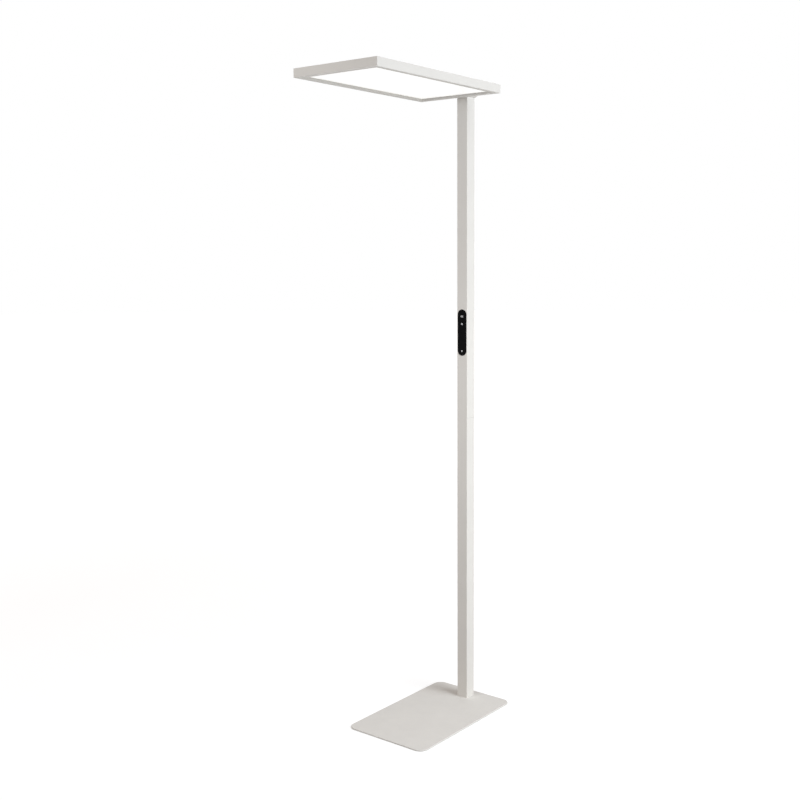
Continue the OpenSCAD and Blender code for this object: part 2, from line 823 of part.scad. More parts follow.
module light_guide() {
    color([0.85, 0.92, 0.95]) in_head() translate([0, 0, guide_z])
        head_sheet(head_w / 2 - guide_side, sheet_in, guide_t);
}

module reflector() {
    color(board_white) in_head() difference() {
        translate([0, 0, reflector_z]) head_sheet(sheet_in, sheet_in, reflector_t);
        wire_holes();
    }
}

// A board along each long side, with light sources facing the guide's edge
module edge_strips() {
    strip_h = guide_t - 2 * touch_gap;
    last = floor((head_l - 2 * strip_in - edge_pitch) / edge_pitch);
    color(board_white) in_head() both_sides() {
        translate([strip_in, strip_y, guide_z + touch_gap]) cube([head_l - 2 * strip_in, board_t, strip_h]);
        for (i = [0:last]) {
            x = strip_in + edge_pitch / 2 + i * edge_pitch;
            if (abs(x - wire_x) > chip_l)
                translate([x, strip_y - chip_t, guide_z + (guide_t - chip_side) / 2])
                    cube([chip_l, chip_t + board_t / 2, chip_side]);
        }
    }
}

// ---- tray, driver and wires ----

module gear_tray() {
    color(board_white) in_head() difference() {
        translate([0, 0, tray_z]) head_sheet(tray_in, tray_in, lip_z - tray_z);
        translate([0, 0, floor_z]) head_sheet(tray_inner, tray_inner, head_h);
        arm_opening();
        wire_holes();
        driver_screw_places() translate([0, 0, -tray_t - ear_t - cut])
            cylinder(d = small_screw_d, h = head_h);
    }
}

// Holes that take the thin wires from the tray down to the edge strips
module wire_holes() {
    both_sides() translate([wire_x, wire_y, guide_z]) cylinder(d = wire_hole_d, h = wire_z - guide_z);
}

// The driver screws' places, at the top of the driver's ears
module driver_screw_places() {
    both_sides() translate([driver_x + driver_w / 2, driver_l / 2 + ear_l / 2, floor_z + ear_t]) children();
}

module driver() {
    color(alloy) in_head() difference() {
        union() {
            translate([driver_x + driver_w / 2, 0, floor_z]) rotate([90, 0, 0])
                linear_extrude(driver_l, center = true) bevelled_section(driver_w, driver_h, driver_bevel);
            translate([driver_x + driver_w / 4, -driver_l / 2 - ear_l, floor_z])
                cube([driver_w / 2, driver_l + 2 * ear_l, ear_t]);
        }
        driver_screw_places() translate([0, 0, -ear_t - cut])
            cylinder(d = small_screw_d + hole_gap, h = ear_t + 2 * cut);
    }
}

module driver_screws() {
    color(steel) in_head() driver_screw_places() button_screw(small_screw_d, ear_t + tray_t);
}

// One thin wire a side: out of the driver's end, across the tray and down to the edge strip
module strip_wires() {
    color([0.75, 0.1, 0.08]) in_head() both_sides() {
        translate([wire_x, driver_l / 2, wire_z]) rotate([-90, 0, 0])
            cylinder(d = wire_d, h = wire_y - driver_l / 2);
        translate([wire_x, wire_y, wire_z]) sphere(d = wire_d);
        translate([wire_x, wire_y, wire_end_z]) cylinder(d = wire_d, h = wire_z - wire_end_z);
    }
}

// Middle line of board number i for the upward light
function uplight_y(i) = (i - (uplight_count - 1) / 2) * window_w / uplight_count;

module uplight_boards() {
    last = floor((window_l - 2 * uplight_pitch) / uplight_pitch);
    color(board_white) in_head() for (i = [0:uplight_count - 1])
        translate([window_back, uplight_y(i), floor_z]) {
            translate([0, -uplight_board_w / 2, 0]) cube([window_l, uplight_board_w, board_t]);
            for (k = [0:last])
                translate([uplight_pitch + k * uplight_pitch, -chip_l / 2, board_t / 2])
                    cube([chip_l, chip_l, board_t / 2 + chip_t]);
        }
}

// Two thin wires from the driver to each board for the upward light
module uplight_wires() {
    reach = window_back + uplight_wire_in - driver_x - driver_w;
    color([0.75, 0.1, 0.08]) in_head() for (i = [0:uplight_count - 1], s = [-1, 1])
        translate([driver_x + driver_w, uplight_y(i) + s * uplight_wire_y, floor_z + board_t + wire_d / 2])
            rotate([0, 90, 0]) cylinder(d = wire_d, h = reach);
}

// ---- top ----

// The cover screws' places, at the head's top
module cover_screw_places() {
    span_l = head_l - 2 * cover_screw_in;
    step = span_l / (cover_screws_long - 1);
    for (i = [0:cover_screws_long - 1], y = [-1, 1])
        translate([cover_screw_in + i * step, y * (head_w / 2 - lip_mid), head_h]) children();
    for (x = [lip_mid, head_l - lip_mid], y = [-1, 1])
        translate([x, y * head_w / 4, head_h]) children();
}

module top_cover() {
    color(coat) in_head() difference() {
        translate([0, 0, cover_z]) head_sheet(rail_t + cover_gap, rail_t + cover_gap, cover_t);
        translate([window_back + window_l / 2, 0, cover_z - cut])
            linear_extrude(cover_t + 2 * cut) rounded_rect(window_l, window_w, window_r);
        cover_screw_places() countersunk_hole(small_screw_d, head_h / 4);
    }
}

module cover_screws() {
    color(steel) in_head() cover_screw_places() countersunk_screw(small_screw_d, cover_screw_l);
}

module upper_diffuser() {
    color(opal) in_head() translate([window_back + window_l / 2, 0, cover_z - uplight_t])
        linear_extrude(uplight_t) square([window_l + 2 * window_lap, window_w + 2 * window_lap], center = true);
}

base_plate();
base_pads();
base_screws();
foot_block();
lower_pole();
upper_pole();
joiner_sleeve();
top_block();
pole_screws();
power_inlet();
inlet_nut();
supply_lead();
control_housing();
control_board();
control_fascia();
head_lead();
pole_cap();
cap_screws();
arm_plate();
arm_screws();
arm_seat();
left_rail();
right_rail();
front_rail();
rear_rail();
corner_keys();
corner_screws();
lower_diffuser();
light_guide();
edge_strips();
reflector();
gear_tray();
driver();
driver_screws();
strip_wires();
uplight_boards();
uplight_wires();
upper_diffuser();
top_cover();
cover_screws();
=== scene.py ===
"""Office floor lamp: finishes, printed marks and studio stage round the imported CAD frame."""

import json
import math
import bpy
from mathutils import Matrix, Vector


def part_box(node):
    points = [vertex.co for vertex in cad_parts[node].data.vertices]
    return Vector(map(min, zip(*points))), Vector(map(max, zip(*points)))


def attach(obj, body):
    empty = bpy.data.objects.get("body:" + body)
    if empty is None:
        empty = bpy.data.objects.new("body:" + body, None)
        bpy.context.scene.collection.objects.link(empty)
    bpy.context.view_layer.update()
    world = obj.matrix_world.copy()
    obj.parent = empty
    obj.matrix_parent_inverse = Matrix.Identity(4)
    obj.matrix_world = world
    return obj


bl_info = {
    "name": "Office Floor Lamp",
    "version": (1, 0, 0),
    "blender": (4, 5, 0),
    "location": "View3D > Sidebar > Lamp",
    "description": "Dresses the packed floor lamp with its finishes and sets up its studio stage",
    "category": "Object",
}

import bmesh
import bpy
from bpy.props import FloatProperty, FloatVectorProperty, PointerProperty
from bpy.types import Operator, Panel, PropertyGroup
from mathutils import Vector

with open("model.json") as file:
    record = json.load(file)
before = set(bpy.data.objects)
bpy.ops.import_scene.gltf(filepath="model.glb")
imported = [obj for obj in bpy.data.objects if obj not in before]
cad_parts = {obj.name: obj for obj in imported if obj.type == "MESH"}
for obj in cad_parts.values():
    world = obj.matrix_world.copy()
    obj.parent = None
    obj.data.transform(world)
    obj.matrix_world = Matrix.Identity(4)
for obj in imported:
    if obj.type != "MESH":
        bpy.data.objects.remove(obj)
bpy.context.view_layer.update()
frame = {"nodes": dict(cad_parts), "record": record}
SLOTS = {row["node"]: row["material_slot"] for row in frame["record"]["subparts"]}
SLOT_COLOURS = {row["slot"]: row["base_color"] for row in frame["record"]["materials"]}


# ---------------------------------------------------------------- sizes and colours


class CoatSettings(PropertyGroup):
    """The powder coat on base, pole, cap and head."""

    colour: FloatVectorProperty(
        name="Coat colour", description="Colour of the powder coat", subtype="COLOR",
        size=3, min=0, max=1, default=(0.700, 0.678, 0.640))
    roughness: FloatProperty(
        name="Roughness", description="Mean roughness of the coat", subtype="FACTOR",
        min=0, max=1, default=0.52)
    grain: FloatProperty(
        name="Grain", description="Width of one bump of the coat's fine texture", unit="LENGTH",
        precision=5, min=0.0002, max=0.005, default=0.0009)
    relief: FloatProperty(
        name="Relief", description="Height of the coat's fine texture", unit="LENGTH",
        precision=6, min=0, max=0.0002, default=0.00002)


class OpticSettings(PropertyGroup):
    """The two opal sheets that the light comes through."""

    colour: FloatVectorProperty(
        name="Opal colour", description="Colour of the opal sheets", subtype="COLOR",
        size=3, min=0, max=1, default=(0.90, 0.90, 0.89))
    light_colour: FloatVectorProperty(
        name="Light colour", description="Colour of the light through the sheets", subtype="COLOR",
        size=3, min=0, max=1, default=(1.0, 0.985, 0.96))
    down_glow: FloatProperty(
        name="Downward glow", description="Strength of the lower sheet as the eye sees it",
        min=0, max=5, default=0.42)
    up_glow: FloatProperty(
        name="Upward glow", description="Strength of the upper sheet", min=0, max=5, default=0.3)


class ControlSettings(PropertyGroup):
    """The touch panel on the pole."""

    colour: FloatVectorProperty(
        name="Panel colour", description="Colour of the gloss face", subtype="COLOR",
        size=3, min=0, max=1, default=(0.0015, 0.0015, 0.0018))
    mark_colour: FloatVectorProperty(
        name="Mark colour", description="Colour of the printed marks", subtype="COLOR",
        size=3, min=0, max=1, default=(0.80, 0.81, 0.82))
    mark_glow: FloatProperty(
        name="Mark glow", description="Strength of the light behind the marks",
        min=0, max=2, default=0.35)
    print_height: FloatProperty(
        name="Print height", description="Height of the marks above the face, and depth in it",
        unit="LENGTH", precision=6, min=0.00001, max=0.0002, default=0.00004)
    line: FloatProperty(
        name="Line", description="Line width of the printed marks", unit="LENGTH",
        precision=5, min=0.0002, max=0.002, default=0.0009)


class StageSettings(PropertyGroup):
    """Floor, light and camera."""

    floor_colour: FloatVectorProperty(
        name="Floor colour", description="Colour of the studio floor", subtype="COLOR",
        size=3, min=0, max=1, default=(0.50, 0.50, 0.50))
    floor_radius: FloatProperty(
        name="Floor radius", description="Radius of the studio floor", unit="LENGTH",
        min=1, max=100, default=30)
    sky: FloatProperty(
        name="Sky", description="Strength of the even light from all round",
        min=0, max=3, default=0.41)
    sky_colour: FloatVectorProperty(
        name="Sky colour", description="Colour of the even light from all round", subtype="COLOR",
        size=3, min=0, max=1, default=(1.0, 0.90, 0.835))
    side_high: FloatProperty(
        name="High side light", description="Power of the far light above the lamp's right",
        unit="POWER", min=0, max=2000, default=249)
    side_low: FloatProperty(
        name="Low side light", description="Power of the near light at the pole's right",
        unit="POWER", min=0, max=2000, default=16)
    front_mid: FloatProperty(
        name="Middle front light", description="Power of the light before the head's free end",
        unit="POWER", min=0, max=2000, default=17)
    front_low: FloatProperty(
        name="Low front light", description="Power of the near light before the pole",
        unit="POWER", min=0, max=2000, default=2.9)
    front_high: FloatProperty(
        name="High front light", description="Power of the light level with the head",
        unit="POWER", min=0, max=2000, default=3.5)


# Colours of what lies on the finishes or shows through them.
# Painted highlight: the pale colour laid along the coat's outer edges.
EDGE_HIGHLIGHT_PAINT = (0.80, 0.79, 0.76)
DUST = (0.62, 0.60, 0.57)
SMUDGE = (0.008, 0.008, 0.009)
GUIDE_DOT = (0.95, 0.95, 0.95)
PHOSPHOR = (0.85, 0.62, 0.12)
FLOOR_CLOUD = (0.42, 0.42, 0.42)
WHITE = (1, 1, 1)

# How far above its board a light source takes its own colour.
CHIP_START = 0.0002
CONTROL_BOARD_THICKNESS = 0.0016

# Middle of each printed mark: below the panel's top end, and above its bottom end for the last.
LIGHT_SIDES_DEPTH = 0.0219
BRIGHTER_DEPTH = 0.0458
DIMMER_HEIGHT = 0.015

# Each light's place, target, size and colour. Its power is the stage setting of the same name.
LIGHTS = {
    "side_high": ((-0.3, 5.0, 4.6), (-0.2, 0, 1.0), (3.8, 3.8), (0.83, 0.91, 1.0)),
    "side_low": ((-0.27, 1.9, 0.95), (-0.27, 0, 0.95), (0.7, 0.7), (0.97, 1.0, 1.0)),
    "front_mid": ((4.2, -0.6, 1.7), (-0.27, 0, 1.4), (1.2, 1.2), (0.96, 0.98, 1.0)),
    "front_low": ((0.75, -0.25, 1.03), (-0.27, 0, 1.03), (0.5, 0.4), (0.93, 0.96, 1.0)),
    "front_high": ((1.3, -0.55, 1.95), (0.2, 0, 1.95), (0.6, 0.06), (0.96, 0.98, 1.0)),
}

# The photograph's camera, fitted to the lamp's edges in a square frame.
FRAME_PX = 800
FOCAL_PX = 1081.13
MIDDLE_PX = (462.25, 400.62)
SENSOR_MM = 36
CAMERA_PLACE = (2.48748, 2.03412, 1.41957)
CAMERA_YAW = -2.50286
CAMERA_PITCH = -0.12559


# ---------------------------------------------------------------- shader building

COLOUR = "NodeSocketColor"
NUMBER = "NodeSocketFloat"
DIRECTION = "NodeSocketVector"

# Where most of a noise texture's values lie.
NOISE_RANGE = (0.3, 0.7)


def plug(tree, value, socket):
    """Feeds a socket from another socket, or gives it a number, a direction or a colour."""
    if isinstance(value, bpy.types.NodeSocket):
        tree.links.new(value, socket)
    elif socket.type == "RGBA":
        socket.default_value = (*value[:3], 1)
    else:
        socket.default_value = value


def feed(tree, node, **values):
    """Feeds a node's input sockets by name."""
    for name, value in values.items():
        plug(tree, value, node.inputs[name.replace("_", " ")])


def add(tree, kind, *values, **named):
    """Adds a shader node. Its input sockets are fed in order, or by names with a capital first
    letter; names with a small one are its options."""
    made = tree.nodes.new(kind)
    for name, value in named.items():
        if name[0].islower():
            setattr(made, name, value)
        else:
            feed(tree, made, **{name: value})
    for value, socket in zip(values, made.inputs):
        plug(tree, value, socket)
    return made


def new_group(name, inputs, outputs):
    """An empty shader node group, the sockets of what it is given, and its output node."""
    tree = bpy.data.node_groups.new(name, "ShaderNodeTree")
    for label, kind, value in inputs:
        socket = tree.interface.new_socket(label, in_out="INPUT", socket_type=kind)
        socket.default_value = value
    for label, kind in outputs:
        tree.interface.new_socket(label, in_out="OUTPUT", socket_type=kind)
    return tree, add(tree, "NodeGroupInput").outputs, add(tree, "NodeGroupOutput")


def calculate(tree, operation, first, second):
    """One step of arithmetic."""
    return add(tree, "ShaderNodeMath", first, second, operation=operation).outputs[0]


def times(tree, first, second):
    """One value times another."""
    return calculate(tree, "MULTIPLY", first, second)


def scaled(tree, vector, scale):
    """A direction or a colour times a value."""
    made = add(tree, "ShaderNodeVectorMath", operation="SCALE", Vector=vector, Scale=scale)
    return made.outputs["Vector"]


def remap(tree, value, source, target=(0, 1)):
    """Moves a value from one range to another, held inside it."""
    made = add(tree, "ShaderNodeMapRange", clamp=True, Value=value, From_Min=source[0],
               From_Max=source[1], To_Min=target[0], To_Max=target[1])
    return made.outputs["Result"]


def between(tree, share, low, high):
    """The value at a share of the way from low to high."""
    return remap(tree, share, (0, 1), (low, high))


def mix_colour(tree, share, first, second):
    """The colour at a share of the way from the first to the second."""
    made = add(tree, "ShaderNodeMix", data_type="RGBA", Factor=share)
    # Inputs 6 and 7 and output 2 are the node's sockets for colours.
    plug(tree, first, made.inputs[6])
    plug(tree, second, made.inputs[7])
    return made.outputs[2]


def shade(colour, share):
    """A darker shade of a colour."""
    return tuple(part * share for part in colour[:3])


def object_place(tree):
    """Object coordinates, which are the frame's own for every CAD node."""
    return add(tree, "ShaderNodeTexCoord").outputs["Object"]


def sized_place(tree, size):
    """Object coordinates counted in pieces of the given size: a number or a socket."""
    if not isinstance(size, bpy.types.NodeSocket):
        size = (size, size, size)
    made = add(tree, "ShaderNodeVectorMath", object_place(tree), size, operation="DIVIDE")
    return made.outputs["Vector"]


def noise(tree, place, detail, roughness=0.5, scale=1.0, distortion=0.0):
    """Soft noise."""
    made = add(tree, "ShaderNodeTexNoise", Vector=place, Scale=scale, Detail=detail,
               Roughness=roughness, Distortion=distortion)
    return made.outputs[0]


def cells(tree, place, feature="F1", scale=1.0, randomness=1.0):
    """Distance from the middle of the nearest cell of a pattern, or from its edge."""
    made = add(tree, "ShaderNodeTexVoronoi", feature=feature, Vector=place, Scale=scale,
               Randomness=randomness)
    return made.outputs["Distance"]


def sees_background(tree):
    """1 for rays from the eye, off gloss and through clear pieces, and 0 for all others."""
    path = add(tree, "ShaderNodeLightPath").outputs
    indirect = calculate(tree, "MAXIMUM", path["Is Glossy Ray"], path["Is Transmission Ray"])
    return calculate(tree, "MAXIMUM", path["Is Camera Ray"], indirect)


# ---------------------------------------------------------------- shared effects


def powder_grain():
    """Fine orange peel of a powder coat, with painted shade in the peel's hollows and a soft change
    of tone over larger areas.
    """
    speck_share = 0.35
    hollow_shade_range = (0.28, 0.42)
    hollow_shade_tone = (0.96, 1.0)
    patch_size = 0.11
    patch_roughness = (-0.05, 0.06)
    tree, given, result = new_group(
        "Powder grain",
        [("Colour", COLOUR, (0.7, 0.7, 0.7, 1)), ("Grain", NUMBER, 0.001),
         ("Mottle", NUMBER, 0.03), ("Roughness", NUMBER, 0.5)],
        [("Colour", COLOUR), ("Roughness", NUMBER), ("Height", NUMBER)])
    place = sized_place(tree, given["Grain"])
    peel = noise(tree, place, detail=2.0, roughness=0.55)
    specks = cells(tree, place, feature="SMOOTH_F1", scale=0.45)
    patches = noise(tree, sized_place(tree, patch_size), detail=3.0)
    darkest = calculate(tree, "SUBTRACT", 1.0, given["Mottle"])
    tone = remap(tree, patches, NOISE_RANGE, (darkest, 1.0))
    # Painted shade: the low parts of the peel are coloured a little darker.
    hollow_shade = remap(tree, peel, hollow_shade_range, hollow_shade_tone)
    worn = remap(tree, patches, NOISE_RANGE, patch_roughness)
    feed(tree, result,
         Colour=scaled(tree, scaled(tree, given["Colour"], tone), hollow_shade),
         Roughness=calculate(tree, "ADD", given["Roughness"], worn),
         Height=calculate(tree, "ADD", peel, times(tree, specks, speck_share)))
    return tree


def edge_light():
    """Mask of the outer edges, broken by gaps, where a painted highlight lightens the coat."""
    turn_cosine = (0.80, 0.99)
    gaps = (0.35, 0.6)
    least = 0.2
    tree, given, result = new_group(
        "Edge light", [("Radius", NUMBER, 0.0008), ("Grain", NUMBER, 0.004)], [("Mask", NUMBER)])
    rounded = add(tree, "ShaderNodeBevel", samples=4, Radius=given["Radius"]).outputs[0]
    flat = add(tree, "ShaderNodeNewGeometry").outputs["Normal"]
    along = add(tree, "ShaderNodeVectorMath", rounded, flat, operation="DOT_PRODUCT")
    edge = remap(tree, along.outputs["Value"], turn_cosine, (1.0, 0.0))
    cloud = noise(tree, sized_place(tree, given["Grain"]), detail=4.0)
    broken = remap(tree, cloud, gaps, (least, 1.0))
    feed(tree, result, Mask=times(tree, edge, broken))
    return tree


def settled_dust():
    """Mask of thin dust on faces that look up."""
    cloud_size = 0.035
    cloud_range = (0.35, 0.75)
    upward_range = (0.5, 1.0)
    tree, given, result = new_group(
        "Settled dust", [("Amount", NUMBER, 0.2)], [("Mask", NUMBER)])
    normal = add(tree, "ShaderNodeNewGeometry").outputs["Normal"]
    facing = add(tree, "ShaderNodeSeparateXYZ", normal)
    upward = remap(tree, facing.outputs["Z"], upward_range)
    clouds = noise(tree, sized_place(tree, cloud_size), detail=6.0, roughness=0.65)
    layer = times(tree, upward, remap(tree, clouds, cloud_range))
    feed(tree, result, Mask=times(tree, layer, given["Amount"]))
    return tree


def drawn_lines():
    """Fine lines along one direction, as rolling, drawing and brushing leave them."""
    tree, given, result = new_group(
        "Drawn lines", [("Spacing", NUMBER, 0.0004), ("Run", DIRECTION, (60, 1, 1))],
        [("Value", NUMBER), ("Height", NUMBER)])
    size = scaled(tree, given["Run"], given["Spacing"])
    lines = noise(tree, sized_place(tree, size), detail=3.0, roughness=0.6)
    feed(tree, result, Value=remap(tree, lines, NOISE_RANGE), Height=lines)
    return tree


def moulded_grain():
    """Spark-eroded texture of a plastic moulding."""
    tree, given, result = new_group(
        "Moulded grain", [("Grain", NUMBER, 0.0005)], [("Value", NUMBER), ("Height", NUMBER)])
    place = sized_place(tree, given["Grain"])
    cloud = noise(tree, place, detail=3.0, scale=0.3)
    feed(tree, result, Value=remap(tree, cloud, NOISE_RANGE), Height=cells(tree, place))
    return tree


def finger_smudges():
    """Mask of faint smudges where a gloss face is touched."""
    blot_range = (0.45, 0.7)
    tree, given, result = new_group(
        "Finger smudges", [("Size", NUMBER, 0.012)], [("Mask", NUMBER)])
    place = sized_place(tree, given["Size"])
    blot = noise(tree, place, detail=4.0, roughness=0.6, distortion=0.6)
    feed(tree, result, Mask=remap(tree, blot, blot_range))
    return tree


EFFECTS = {}


def effect(tree, maker, **values):
    """Places a shared effect, built the first time that a material asks for it."""
    if maker not in EFFECTS:
        EFFECTS[maker] = maker()
    return add(tree, "ShaderNodeGroup", node_tree=EFFECTS[maker], **values).outputs


# ---------------------------------------------------------------- finishes


def new_finish(name):
    """A new material, its node tree and its Principled shader."""
    material = bpy.data.materials.new(name)
    material.use_nodes = True
    return material, material.node_tree, material.node_tree.nodes["Principled BSDF"]


def raise_surface(tree, shader, height, distance, strength=1.0):
    """Feeds a height into the shader's normal."""
    bump = add(tree, "ShaderNodeBump", Strength=strength, Distance=distance, Height=height)
    feed(tree, shader, Normal=bump.outputs[0])


def powder_coat(name, dust=0.0, mottle=0.03, run=None):
    """Warm off-white powder coat; run is the direction of an extrusion's faint lines."""
    line_spacing = 0.003
    line_share = 0.05
    edge_highlight_share = 0.7
    dust_roughness = 0.3
    settings = bpy.context.scene.lamp_coat
    material, tree, shader = new_finish(name)
    grain = effect(tree, powder_grain, Colour=settings.colour, Grain=settings.grain,
                   Mottle=mottle, Roughness=settings.roughness)
    colour = grain["Colour"]
    roughness = grain["Roughness"]
    if run:
        lines = effect(tree, drawn_lines, Spacing=line_spacing, Run=run)
        share = times(tree, lines["Value"], line_share)
        colour = mix_colour(tree, share, colour, shade(settings.colour, 0.6))
    # Painted highlight: the outer edges are mixed towards a paler colour.
    edge = effect(tree, edge_light)
    colour = mix_colour(tree, times(tree, edge["Mask"], edge_highlight_share), colour, EDGE_HIGHLIGHT_PAINT)
    if dust:
        layer = effect(tree, settled_dust, Amount=dust)
        colour = mix_colour(tree, layer["Mask"], colour, DUST)
        rougher = times(tree, layer["Mask"], dust_roughness)
        roughness = calculate(tree, "ADD", roughness, rougher)
    feed(tree, shader, Base_Color=colour, Roughness=roughness, Specular_IOR_Level=0.35)
    raise_surface(tree, shader, grain["Height"], settings.relief)
    return material


def opal_sheet(name, glow, seen_glow=None):
    """Opal acrylic with a fine satin surface, lit from behind; seen_glow is for the eye alone."""
    tone_share = 0.03
    settings = bpy.context.scene.lamp_optic
    material, tree, shader = new_finish(name)
    grain = effect(tree, moulded_grain, Grain=0.0006)
    colour = mix_colour(tree, times(tree, grain["Value"], tone_share),
                        settings.colour, shade(settings.colour, 0.85))
    feed(tree, shader, Base_Color=colour, Roughness=between(tree, grain["Value"], 0.42, 0.5),
         Emission_Color=settings.light_colour, Emission_Strength=glow)
    raise_surface(tree, shader, grain["Height"], distance=0.00002, strength=0.6)
    if seen_glow is not None:
        eye = add(tree, "ShaderNodeLightPath").outputs["Is Camera Ray"]
        feed(tree, shader, Emission_Strength=between(tree, eye, glow, seen_glow))
    return material


def bare_metal(name, colour, spacing, run, darkest, roughness):
    """Plain metal with the fine lines that turning or drawing leaves; run is their direction."""
    material, tree, shader = new_finish(name)
    lines = effect(tree, drawn_lines, Spacing=spacing, Run=run)
    toned = mix_colour(tree, lines["Value"], shade(colour, darkest), colour)
    feed(tree, shader, Base_Color=toned, Metallic=1.0,
         Roughness=between(tree, lines["Value"], *roughness))
    raise_surface(tree, shader, lines["Height"], distance=0.00001)
    return material


def moulding(name, colour, grain, roughness, relief=0.00002):
    """A moulded plastic or rubber with its own grain."""
    spread = 0.06
    material, tree, shader = new_finish(name)
    texture = effect(tree, moulded_grain, Grain=grain)
    toned = mix_colour(tree, texture["Value"], shade(colour, 0.8), colour)
    uneven = between(tree, texture["Value"], roughness - spread, roughness + spread)
    feed(tree, shader, Base_Color=toned, Roughness=uneven)
    raise_surface(tree, shader, texture["Height"], relief)
    return material


def gloss_face():
    """Black gloss face of the touch panel, with faint smudges."""
    smudge_share = 0.25
    settings = bpy.context.scene.lamp_control
    material, tree, shader = new_finish("panel_gloss_black")
    mask = effect(tree, finger_smudges)["Mask"]
    colour = mix_colour(tree, times(tree, mask, smudge_share), settings.colour, SMUDGE)
    feed(tree, shader, Base_Color=colour, Roughness=between(tree, mask, 0.07, 0.2),
         Specular_IOR_Level=0.05)
    return material


def mark_print():
    """Light print on the panel, a little lit from behind."""
    tone_share = 0.1
    settings = bpy.context.scene.lamp_control
    material, tree, shader = new_finish("panel_mark_print")
    grain = effect(tree, moulded_grain, Grain=0.0002)
    colour = mix_colour(tree, times(tree, grain["Value"], tone_share),
                        settings.mark_colour, shade(settings.mark_colour, 0.8))
    feed(tree, shader, Base_Color=colour, Roughness=0.45, Emission_Color=colour,
         Emission_Strength=settings.mark_glow)
    return material


def clear_acrylic():
    """Clear light guide with polished edges and a fine dot pattern that lets the light out."""
    dot_pitch = 0.0015
    dot_edge = (0.24, 0.28)
    material, tree, shader = new_finish("clear_acrylic")
    grid = cells(tree, sized_place(tree, dot_pitch), randomness=0.0)
    dot = remap(tree, grid, dot_edge, (1.0, 0.0))
    feed(tree, shader,
         Base_Color=mix_colour(tree, dot, SLOT_COLOURS["clear_acrylic"], GUIDE_DOT),
         Roughness=between(tree, dot, 0.05, 0.6), Alpha=between(tree, dot, 0.35, 0.9))
    return material


def circuit(name, colour, far_colour, axis, level):
    """Solder mask over copper tracks; beyond a level on an axis the piece has its far colour."""
    track_pitch = 0.006
    track_edge = (0.03, 0.06)
    track_share = 0.35
    blur = 0.0001
    material, tree, shader = new_finish(name)
    tracks = cells(tree, sized_place(tree, track_pitch), feature="DISTANCE_TO_EDGE")
    line = remap(tree, tracks, track_edge, (1.0, 0.0))
    copper = tuple(min(1, part * 1.5 + 0.04) for part in colour[:3])
    board = mix_colour(tree, times(tree, line, track_share), colour, copper)
    place = add(tree, "ShaderNodeSeparateXYZ", object_place(tree))
    beyond = remap(tree, place.outputs[axis], (level - blur, level + blur))
    feed(tree, shader, Base_Color=mix_colour(tree, beyond, board, far_colour), Roughness=0.38)
    raise_surface(tree, shader, line, distance=0.00003)
    return material


def paint(material, *nodes):
    """Gives CAD nodes their finish."""
    for name in nodes:
        holder = frame["nodes"][name]
        holder.data.materials.clear()
        holder.data.materials.append(material)


def slot_nodes(slot):
    """The CAD nodes that the record gives one material slot."""
    return [node for node, its_slot in SLOTS.items() if its_slot == slot]


# ---------------------------------------------------------------- meshes


def new_object(name, shape, material):
    """Turns a shape into an object of the scene, with one material."""
    data = bpy.data.meshes.new(name)
    shape.to_mesh(data)
    shape.free()
    data.materials.append(material)
    made = bpy.data.objects.new(name, data)
    bpy.context.scene.collection.objects.link(made)
    return made


def arc(radius, start, end, steps):
    """Points on an arc in the panel's own plane, first across, then up; degrees from the right."""
    turn = [math.radians(start + (end - start) * i / steps) for i in range(steps + 1)]
    return [(radius * math.cos(a), radius * math.sin(a)) for a in turn]


def stroke(points, width, closed):
    """Both outlines of a line of even width along some points."""
    count = len(points)
    left, right = [], []
    for i, (u, v) in enumerate(points):
        before = points[(i - 1) % count] if closed or i else points[i]
        after = points[(i + 1) % count] if closed or i < count - 1 else points[i]
        run = Vector((after[0] - before[0], after[1] - before[1])).normalized()
        side = Vector((-run.y, run.x)) * width / 2
        left.append((u + side.x, v + side.y))
        right.append((u - side.x, v - side.y))
    return left, right


def print_mark(name, strokes, middle, material):
    """A thin closed print on the panel's face, made of strokes round the height of its middle."""
    settings = bpy.context.scene.lamp_control
    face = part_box("control_fascia")[1].x
    shape = bmesh.new()

    def corner(point, raised):
        out = settings.print_height if raised else -settings.print_height
        return shape.verts.new((face + out, point[0], middle + point[1]))

    for points, closed in strokes:
        left, right = stroke(points, settings.line, closed)
        rings = [[corner(point, raised) for point in side] for side, raised in
                 ((left, False), (right, False), (right, True), (left, True))]
        count = len(points)
        for i in range(count if closed else count - 1):
            j = (i + 1) % count
            for a, b in ((0, 1), (1, 2), (2, 3), (3, 0)):
                shape.faces.new((rings[a][i], rings[a][j], rings[b][j], rings[b][i]))
        if not closed:
            shape.faces.new([rings[k][0] for k in (3, 2, 1, 0)])
            shape.faces.new([rings[k][-1] for k in (0, 1, 2, 3)])
    bmesh.ops.recalc_face_normals(shape, faces=shape.faces)
    made = new_object(name, shape, material)
    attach(made, "root")


def light_sides(half_width, half_height, bow_radius, bow_turn):
    """A long box with bowed ends: strokes for the mark that chooses the light's sides."""
    beams = [([(-half_width, v), (half_width, v)], False) for v in (half_height, -half_height)]
    bows = [(arc(bow_radius, middle - bow_turn, middle + bow_turn, 10), False)
            for middle in (180, 0)]
    return beams + bows


def sun(radius, ray_in, ray_out, rays=8):
    """A ring with rays round it: strokes for a brightness mark."""
    ring = (arc(radius, 0, 360, 32)[:-1], True)
    lines = []
    for i in range(rays):
        a = 2 * math.pi * i / rays
        lines.append(([(ray_in * math.cos(a), ray_in * math.sin(a)),
                       (ray_out * math.cos(a), ray_out * math.sin(a))], False))
    return [ring, *lines]


# ---------------------------------------------------------------- operators


class LampOperator:
    """What all operators of the lamp share."""

    bl_options = {"REGISTER", "UNDO"}


class LAMP_OT_base(LampOperator, Operator):
    """Finishes the base plate and its pads"""

    bl_idname = "lamp.base"
    bl_label = "Base"

    def execute(self, context):
        paint(powder_coat("base_coat", dust=0.30, mottle=0.05), "base_plate")
        rubber = moulding("pad_rubber", SLOT_COLOURS["pad"], grain=0.0008, roughness=0.78,
                          relief=0.00005)
        paint(rubber, "base_pads")
        return {"FINISHED"}


